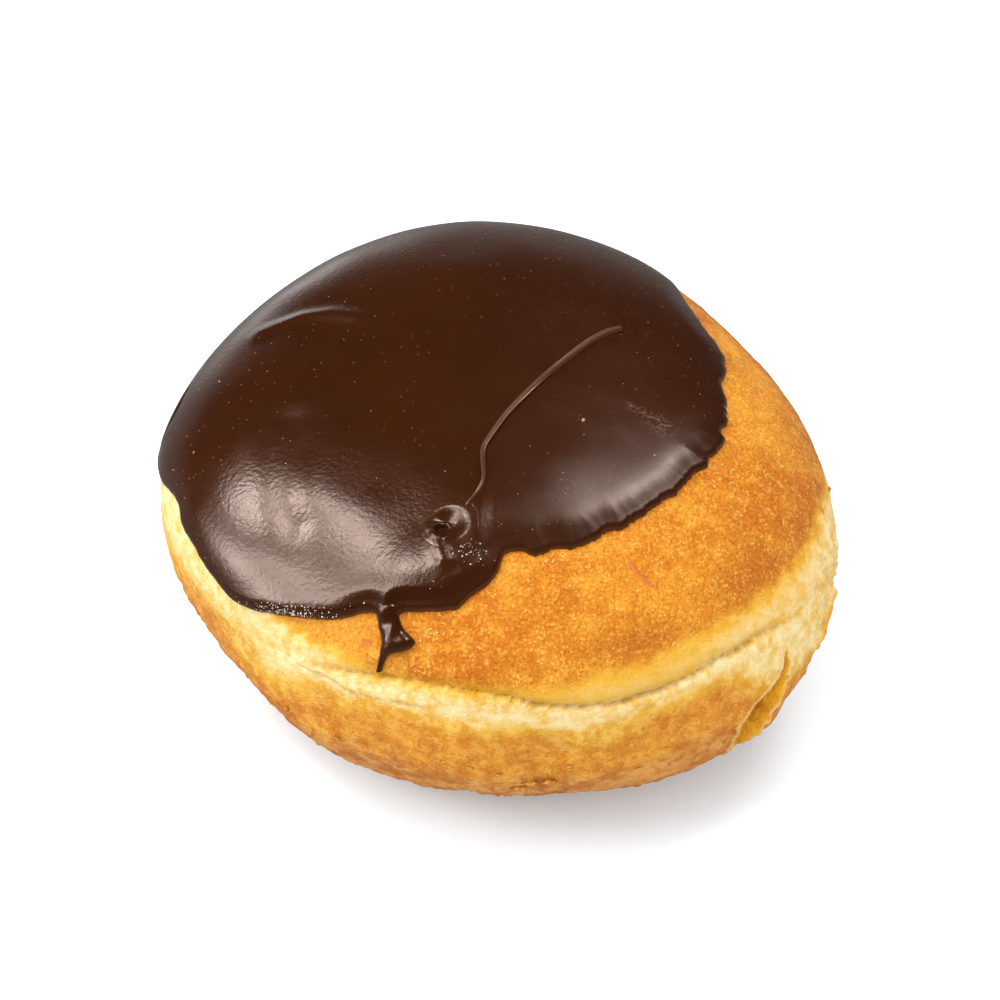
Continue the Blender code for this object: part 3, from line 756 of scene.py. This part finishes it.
bubble_top = under_bubble + bubble_up * (level - pit_floor + 0.006 - sink)[..., None] / 1000
bubble_foot = under_bubble[:1] + bubble_up[:1] * (level[:1, :, None] - 0.6) / 1000
bubble_grid = np.concatenate([bubble_foot, bubble_top])
middle_point = bubble_top[-1].mean(axis=0)
low_middle = middle_point - bubble_up[-1].mean(axis=0) * 0.0005
bubble = closed_sheet("icing_bubble", bubble_grid, low_middle, middle_point)
bubble.data.materials.append(icing_finish)
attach(bubble, "root")


# The run of icing
# A run of the same icing that left the edge at the front left while it was warm. It swells into a
# drop on its right side and ends in a thin tail, and lies on the crust.

# Down the run: (azimuth and latitude of its left side, the same of its right side, thickness in mm).
RUN = (
    (-115.6, 37.6, -112.0, 38.7, 0.9), (-116.4, 36.1, -110.6, 38.0, 1.25), (-116.2, 34.8, -109.9, 37.2, 1.45),
    (-115.5, 33.6, -110.2, 36.2, 1.40), (-114.7, 32.6, -110.5, 35.0, 1.25), (-114.2, 31.3, -109.7, 33.6, 1.1),
    (-113.8, 29.9, -109.0, 32.4, 1.05), (-113.2, 28.8, -108.2, 31.4, 1.1), (-112.8, 27.8, -106.8, 30.6, 1.25),
    (-112.5, 26.5, -105.8, 29.5, 1.4), (-112.2, 25.5, -106.0, 28.2, 1.4), (-112.2, 24.5, -106.8, 26.6, 1.3),
    (-112.2, 23.4, -108.2, 25.0, 1.1), (-112.0, 22.4, -109.7, 23.9, 0.95), (-112.0, 21.3, -110.5, 22.5, 0.85),
    (-112.0, 19.9, -110.8, 20.8, 0.8), (-112.0, 18.2, -111.0, 19.1, 0.75), (-112.0, 17.0, -111.0, 17.7, 0.7),
    (-112.0, 16.1, -111.1, 16.7, 0.5),
)
RUN_STATIONS = 120
RUN_ACROSS = 28


def eased(values, count, spread):
    """Rows of values read at count even places, then each averaged with its neighbours by a bell."""
    values = np.asarray(values, float)
    at = np.linspace(0, len(values) - 1, count)
    fine = np.stack([np.interp(at, np.arange(len(values)), column) for column in values.T], -1)
    reach = int(3 * spread)
    weights = bell(np.arange(-reach, reach + 1), spread * 2**0.5)
    padded = np.concatenate([fine[:1].repeat(reach, 0), fine, fine[-1:].repeat(reach, 0)])
    return np.stack([np.convolve(column, weights / weights.sum(), "valid") for column in padded.T], -1)


run_rows = eased(RUN, RUN_STATIONS, 2.4)
across = (1 - np.cos(np.linspace(0, np.pi, RUN_ACROSS))) / 2
left_azimuth, left_latitude, right_azimuth, right_latitude, run_thickness = run_rows.T[:, :, None]
run_azimuth = right_azimuth + (left_azimuth - right_azimuth) * across
run_latitude = right_latitude + (left_latitude - right_latitude) * across
run_sides = dough_skin(left_azimuth, left_latitude) - dough_skin(right_azimuth, right_latitude)
run_width = np.linalg.norm(run_sides, axis=-1) * 1000
run_rise = np.minimum(run_thickness, 0.6 * run_width) * (1 - np.abs(2 * across - 1) ** 2.6) ** 0.55
run_base = dough_skin(run_azimuth, run_latitude)
run_up = outward(run_azimuth, run_latitude)
uneven = swell(run_base) + 0.12 * lumps(run_base, 0.0026, 51) * np.minimum(run_rise, 1)
run_top = run_base + run_up * (run_rise + uneven)[..., None] / 1000
run_under = (run_base - run_up * 0.0006)[:, ::-1]
run_grid = np.concatenate([run_top, run_under], axis=1)
run_piece = closed_sheet("icing_run", run_grid, run_grid[0].mean(axis=0), run_grid[-1].mean(axis=0))
run_piece.data.materials.append(icing_finish)
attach(run_piece, "root")


# The thread of icing
# A thread of chocolate that fell from the spoon and set on the icing. It is ridged lengthwise, a
# little paler than the icing, thick at the back and drawn out thin towards the bubble.

# Along the thread, from the back: (x, y and half width in mm).
THREAD = (
    (17.6, 12.4, 0.38), (17.1, 12.0, 0.44), (15.2, 10.9, 0.48), (13, 8.9, 0.48), (10.9, 6.5, 0.46),
    (8.8, 3.8, 0.44), (5.9, 0.3, 0.42), (3.1, -3.5, 0.40), (1, -6.5, 0.38), (-0.5, -9.5, 0.36),
    (-1.8, -11.8, 0.34), (-2.2, -13.4, 0.32), (-2, -16.5, 0.30), (-1.9, -18.6, 0.27), (-3, -20.9, 0.22),
    (-4.6, -22.9, 0.15),
)
THREAD_STATIONS = 190
THREAD_ROUND = 32
THREAD_RIDGES = 5
# A height in metres well over the icing, from which rays look down.
LOOKOUT = 0.08


def tree_of(piece):
    """The piece's surface, ready for rays."""
    corners = [vertex.co for vertex in piece.data.vertices]
    return BVHTree.FromPolygons(corners, [tuple(face.vertices) for face in piece.data.polygons])


icing_surface = tree_of(icing_piece)
thread_rows = eased(THREAD, THREAD_STATIONS, 5)
thread_path = []
for x, y in thread_rows[:, :2] / 1000:
    touched, _, _, _ = icing_surface.ray_cast((x, y, LOOKOUT), (0, 0, -1))
    thread_path.append((x, y, touched.z))
thread_path = np.array(thread_path)
half_width = thread_rows[:, 2:] / 1000
half_width = half_width * (0.25 + 0.75 * soft_step(np.arange(THREAD_STATIONS), -1, 4))[:, None]
thread_path[:, 2:] += 0.45 * half_width
tangent = np.gradient(thread_path, axis=0)
tangent /= np.linalg.norm(tangent, axis=1, keepdims=True)
side = np.cross([0, 0, 1.0], tangent)
side /= np.linalg.norm(side, axis=1, keepdims=True)
above = np.cross(tangent, side)
turn = np.linspace(0, 2 * np.pi, THREAD_ROUND, endpoint=False)
twist = 0.5 * np.sin(np.arange(THREAD_STATIONS) / 24)[:, None]
ridged = (1 + 0.22 * np.cos(THREAD_RIDGES * (turn + twist)))[..., None]
thread_grid = thread_path[:, None] + half_width[:, None] * ridged * (
    np.cos(turn)[:, None] * side[:, None] + 0.8 * np.sin(turn)[:, None] * above[:, None]
)
thread_ends = (thread_path[0] - tangent[0] * 0.0001, thread_path[-1] + tangent[-1] * 0.0003)
thread_piece = closed_sheet("icing_thread", thread_grid, *thread_ends)
thread_piece.data.materials.append(chocolate("chocolate_thread", 0.14, (0.050, 0.019, 0.010), 0.000006))
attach(thread_piece, "root")


# Specks and crumbs
# Dried sugar specks on the icing, and on the crust a few blisters of glaze, crumbs of crust and
# burnt specks. They are loose bits that stuck while the fat and the icing were wet.

SPECKS = 1200
RIM_GRAINS = 170
BUBBLE_GRAINS = 60
# How far over the ball's smooth skin in metres the rays start that find a bit's place.
RAY_START = 0.008


def settled(surface, azimuth, latitude):
    """Points on a piece's surface and their normals, found by rays towards the ball's smooth skin."""
    up = outward(azimuth, latitude)
    starts = dough_skin(azimuth, latitude) + up * RAY_START
    points, normals = [], []
    for start, aim in zip(starts, -up, strict=True):
        point, normal, _, _ = surface.ray_cast(start, aim)
        points.append(point)
        normals.append(normal)
    return np.array(points), np.array(normals)


def bits(name, surface, table, seed, sides=7):
    """Small uneven buttons on a surface, each a ring of sides between a cap and a sunk foot.

    A row of the table is (azimuth, latitude, length, width and height in mm, turn).
    """
    table = np.asarray(table, float)
    points, up = settled(surface, table[:, 0], table[:, 1])
    east = np.cross([0, 0, 1.0], up)
    east /= np.maximum(np.linalg.norm(east, axis=1, keepdims=True), 1e-9)
    north = np.cross(up, east)
    swing = np.radians(table[:, 5])[:, None]
    length = (east * np.cos(swing) + north * np.sin(swing)) * table[:, 2:3] / 1000
    width = (north * np.cos(swing) - east * np.sin(swing)) * table[:, 3:4] / 1000
    height = up * table[:, 4:5] / 1000
    draw = np.random.default_rng(seed)
    turn = np.linspace(0, 2 * np.pi, sides, endpoint=False) + draw.uniform(0, 1, (len(table), 1))
    reach = draw.uniform(0.7, 1.15, (len(table), sides))
    ring = points[:, None] + (np.cos(turn) * reach)[..., None] * length[:, None]
    ring = ring + (np.sin(turn) * reach)[..., None] * width[:, None] + height[:, None] * 0.35
    cap = points + height
    foot = points - height * 0.6
    vertices = np.concatenate([ring, cap[:, None], foot[:, None]], axis=1).reshape(-1, 3)
    step = np.arange(sides)
    upper = np.stack([step, (step + 1) % sides, np.full(sides, sides)], -1)
    lower = np.stack([(step + 1) % sides, step, np.full(sides, sides + 1)], -1)
    faces = np.concatenate([upper, lower])[None] + np.arange(len(table))[:, None, None] * (sides + 2)
    mesh = bpy.data.meshes.new(name)
    mesh.from_pydata(vertices.tolist(), [], faces.reshape(-1, 3).tolist())
    mesh.shade_smooth()
    return in_scene(name, mesh)


def bit_finish(name, light, dark, roughness):
    """The finish of a small bit: two colours mottled by the grain."""
    material, wire, principled = new_finish(name)
    grain = wire.effect(grain_effect, Grains_per_metre=2600)
    color = wire.mix(wire.ramp(wire.noise(1500, 2, 0.5), 0.35, 0.65), dark, light)
    wire.join(color, principled.inputs["Base Color"])
    wire.join(wire.bump(grain["Height"], 0.00005), principled.inputs["Normal"])
    principled.inputs["Roughness"].default_value = roughness
    return material


def round_bits(azimuth, latitude, size):
    """Rows for bits that are as wide as they are long, and half as high."""
    return np.stack([azimuth, latitude, size, size, size * 0.5, azimuth * 0], -1)


draw = np.random.default_rng(7)
speck_azimuth = draw.uniform(-180, 180, SPECKS)
speck_latitude = np.degrees(np.arcsin(draw.uniform(0.30, 0.99, SPECKS) ** 1.6))
speck_size = 0.052 + 0.05 * draw.uniform(0, 1, SPECKS) ** 3
clear = speck_latitude > read_round(ICING_EDGE, speck_azimuth) + 3
specks = round_bits(speck_azimuth, speck_latitude, speck_size)[clear]
large_specks = [
    (-173.2, 32.4, 0.20, 0.20, 0.12, 0), (-172.8, 23.8, 0.14, 0.12, 0.08, 0),
    (169, 35.9, 0.40, 0.11, 0.05, 40), (-31.2, 76.7, 0.36, 0.26, 0.05, 20),
    (-29.8, 63.1, 0.26, 0.18, 0.05, 60), (-62, 70, 0.12, 0.1, 0.06, 0),
]
sugar = bits("sugar_specks", icing_surface, np.concatenate([specks, large_specks]), 3)
sugar.data.materials.append(bit_finish("dried_sugar", (0.42, 0.27, 0.16), (0.22, 0.11, 0.052), 0.5))
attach(sugar, "root")

rim_azimuth = draw.normal(-131, 4.2, RIM_GRAINS)
rim_latitude = read_round(ICING_EDGE, rim_azimuth) + 0.9 + 3.6 * draw.uniform(0, 1, RIM_GRAINS) ** 1.4
bubble_azimuth = draw.normal(-98.5, 3.0, BUBBLE_GRAINS)
bubble_latitude = draw.normal(54.8, 1.5, BUBBLE_GRAINS)
grain_azimuth = np.concatenate([rim_azimuth, bubble_azimuth])
grain_size = 0.05 + 0.09 * draw.uniform(0, 1, RIM_GRAINS + BUBBLE_GRAINS) ** 2.5
frost_table = round_bits(grain_azimuth, np.concatenate([rim_latitude, bubble_latitude]), grain_size)
frost = bits("sugar_frost", icing_surface, frost_table, 5)
frost.data.materials.append(bit_finish("dried_frost", (0.80, 0.72, 0.64), (0.45, 0.34, 0.28), 0.3))
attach(frost, "root")

dough_surface = tree_of(dough_piece)
GLAZE_BITS = (
    (-103.5, 34.1, 0.45, 0.25, 0.16, 20), (-102.0, 33.6, 0.4, 0.3, 0.18, 70),
    (-101.0, 36.6, 0.5, 0.2, 0.15, 10), (-105.0, 30.1, 0.35, 0.2, 0.12, 60),
    (-104.2, 32.0, 0.3, 0.25, 0.15, 0), (-120.8, 27.6, 0.4, 0.2, 0.12, 30),
    (-119.3, 31.1, 0.3, 0.2, 0.12, 70), (-110.2, 35.0, 0.5, 0.16, 0.14, -50),
    (-77.6, 53.2, 0.5, 0.25, 0.2, 10), (-76.0, 52.8, 0.45, 0.2, 0.2, 70),
    (-19.5, 50.8, 0.4, 0.3, 0.25, 10), (-26.7, 50.2, 0.55, 0.25, 0.25, 50),
    (-20.0, 48.5, 0.3, 0.2, 0.15, 0), (-59.6, 41.0, 0.25, 0.2, 0.12, 0), (-48.7, -8.7, 0.4, 0.35, 0.3, 30),
)
GLAZE_SHRINKS = 0.75
glaze_table = np.array(GLAZE_BITS, float) * (1, 1, GLAZE_SHRINKS, GLAZE_SHRINKS, GLAZE_SHRINKS, 1)
glaze = bits("glaze_blisters", dough_surface, glaze_table, 11, 9)
glaze.data.materials.append(bit_finish("dried_glaze", (0.57, 0.38, 0.15), (0.50, 0.24, 0.05), 0.3))
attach(glaze, "root")

CRUMBS = (
    (50.3, 35.3, 0.5, 0.4, 0.5, 0), (-4.0, 11.3, 0.5, 0.45, 0.5, 0), (-84.5, -14.5, 1.3, 0.7, 0.7, 10),
    (-81.2, -13.5, 1.1, 0.6, 0.6, -10), (-86.0, -17.0, 1.6, 0.6, 0.5, 5), (-89.8, -9.5, 0.6, 0.35, 0.3, 30),
    (-94.8, -7.4, 0.7, 0.3, 0.3, 0), (-120, -12, 0.7, 0.4, 0.3, 10), (-131, -11, 0.6, 0.4, 0.3, -20),
    (-78, -7, 0.6, 0.4, 0.25, 0), (-66, -12, 0.5, 0.3, 0.3, 15), (60, 2, 0.6, 0.4, 0.4, 0),
    (130, -6, 0.7, 0.4, 0.3, 0), (-50.5, -12.5, 0.7, 0.4, 0.4, 40), (-47.5, -21, 0.8, 0.6, 0.6, 0),
)
crumbs = bits("crust_crumbs", dough_surface, CRUMBS, 13, 9)
crumbs.data.materials.append(bit_finish("toasted_crumb", (0.50, 0.228, 0.030), (0.36, 0.108, 0.0060), 0.55))
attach(crumbs, "root")

BURNT = (
    (-12.7, 18.0, 0.42, 0.16, 0.1, 30), (-3.5, 29.2, 0.14, 0.12, 0.06, 0), (36.5, 39.3, 0.6, 0.22, 0.14, -40),
    (-11.5, 17.2, 0.15, 0.1, 0.06, 0), (-66, 30, 0.1, 0.1, 0.04, 0),
)
burnt = bits("dark_specks", dough_surface, BURNT, 17, 9)
burnt.data.materials.append(bit_finish("dark_speck", (0.05, 0.015, 0.006), (0.02, 0.006, 0.003), 0.4))
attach(burnt, "root")


# The table and the studio
# A white table top under soft boxes on the left, one behind on the right, a weak one in front on
# the right and an even soft light all round. The camera looks down at 46 degrees with a long lens.

TABLE_REACH = 4
table_corners = [(x * TABLE_REACH, y * TABLE_REACH, 0) for x, y in ((-1, -1), (1, -1), (1, 1), (-1, 1))]
table_mesh = bpy.data.meshes.new("table")
table_mesh.from_pydata(table_corners, [], [(0, 1, 2, 3)])
table = in_scene("table", table_mesh)
table_finish, _, table_shader = new_finish("white_table")
table_shader.inputs["Base Color"].default_value = (0.735, 0.795, 0.835, 1)
table_shader.inputs["Roughness"].default_value = 0.7
table_shader.inputs["Specular IOR Level"].default_value = 0.2
table_mesh.materials.append(table_finish)
table.visible_glossy = False


def toward(azimuth, elevation):
    """The unit vector that points to this azimuth and elevation in degrees."""
    turn, rise = np.radians(azimuth), np.radians(elevation)
    return np.array([np.cos(turn) * np.cos(rise), np.sin(turn) * np.cos(rise), np.sin(rise)])


def soft_box(name, azimuth, elevation, distance, size, radiance):
    """A rectangle of light of this size in metres, facing the doughnut, as bright as radiance."""
    light = bpy.data.lights.new(name, "AREA")
    light.shape = "RECTANGLE"
    light.size, light.size_y = size
    light.energy = radiance * np.pi * size[0] * size[1]
    lamp = in_scene(name, light)
    lamp.location = toward(azimuth, elevation) * distance
    lamp.rotation_euler = lamp.location.to_track_quat("Z", "Y").to_euler()
    lamp.visible_glossy = False


soft_box("left_box", 152, 57, 1.1, (0.48, 0.48), 8.5)
soft_box("low_left_box", -165, 33, 1.2, (0.48, 0.60), 7)
soft_box("wide_left_box", 176, 50, 1.5, (1.2, 1.2), 2.2)
soft_box("right_box", 45, 60, 1.1, (0.38, 0.38), 8.5)
soft_box("right_fill", -45, 30, 1.5, (1.0, 0.8), 3.0)

# The same lights as the gloss shows them, with soft rims: (azimuth, elevation, half width, radiance).
GLOWS = (
    (156, 64, 5.6, 19), (160, 45, 4.2, 26), (-172, 27, 9.0, 14.5), (-168, 46, 4.2, 14),
    (-168, 58, 4.2, 13), (44, 59, 4.6, 26), (107, -12, 6.0, 1.2),
)
# How bright the gloss shows the room low down, and how bright the even light on all else is.
WALL = 0.32
AMBIENT = 1.28

world = bpy.data.worlds.new("studio")
bpy.context.scene.world = world
world.use_nodes = True
world.cycles.sampling_method = "NONE"
sky = Shader(world.node_tree)
direction = sky.node("TexCoord").outputs["Generated"]
up = sky.node("SeparateXYZ", {0: direction}).outputs["Z"]
shine = sky.ramp(up, -0.10, 0.28, WALL, 0.02)
for azimuth, elevation, half_width, radiance in GLOWS:
    axis = tuple(toward(azimuth, elevation))
    facing = sky.node("VectorMath", {0: direction, 1: axis}, operation="DOT_PRODUCT").outputs["Value"]
    sharpness = 1 / np.radians(half_width) ** 2
    spot = sky.math("EXPONENT", sky.math("MULTIPLY_ADD", facing, sharpness, -sharpness))
    shine = sky.math("MULTIPLY_ADD", spot, radiance, shine)
dull_ray = sky.node("LightPath").outputs["Is Diffuse Ray"]
strength = sky.node("Mix", {0: dull_ray, 2: shine, 3: AMBIENT}, data_type="FLOAT").outputs[0]
sky.join(strength, world.node_tree.nodes["Background"].inputs["Strength"])
world.node_tree.nodes["Background"].inputs["Color"].default_value = (1, 1, 1, 1)

# The camera: metres for its distance and the height that it aims at, pixels for its slide.
ELEVATION = np.radians(46)
IMAGE_WIDTH = 1000
SENSOR_WIDTH = 36
FOCAL_PIXELS = 4285.5
DISTANCE = 0.62
AIM_HEIGHT = 0.022
SLIDE_RIGHT = 2.1
SLIDE_UP = 15.7
camera_data = bpy.data.cameras.new("camera")
camera = in_scene("camera", camera_data)
camera_data.sensor_width = SENSOR_WIDTH
camera_data.lens = FOCAL_PIXELS / IMAGE_WIDTH * SENSOR_WIDTH
back = np.array([0, -np.cos(ELEVATION), np.sin(ELEVATION)])
upward = np.array([0, np.sin(ELEVATION), np.cos(ELEVATION)])
slide = (np.array([1.0, 0, 0]) * SLIDE_RIGHT + upward * SLIDE_UP) / FOCAL_PIXELS * DISTANCE
camera.location = np.array([0, 0, AIM_HEIGHT]) + back * DISTANCE + slide
camera.rotation_euler = (np.pi / 2 - ELEVATION, 0, 0)
bpy.context.scene.camera = camera
bpy.context.scene.view_settings.view_transform = "Standard"
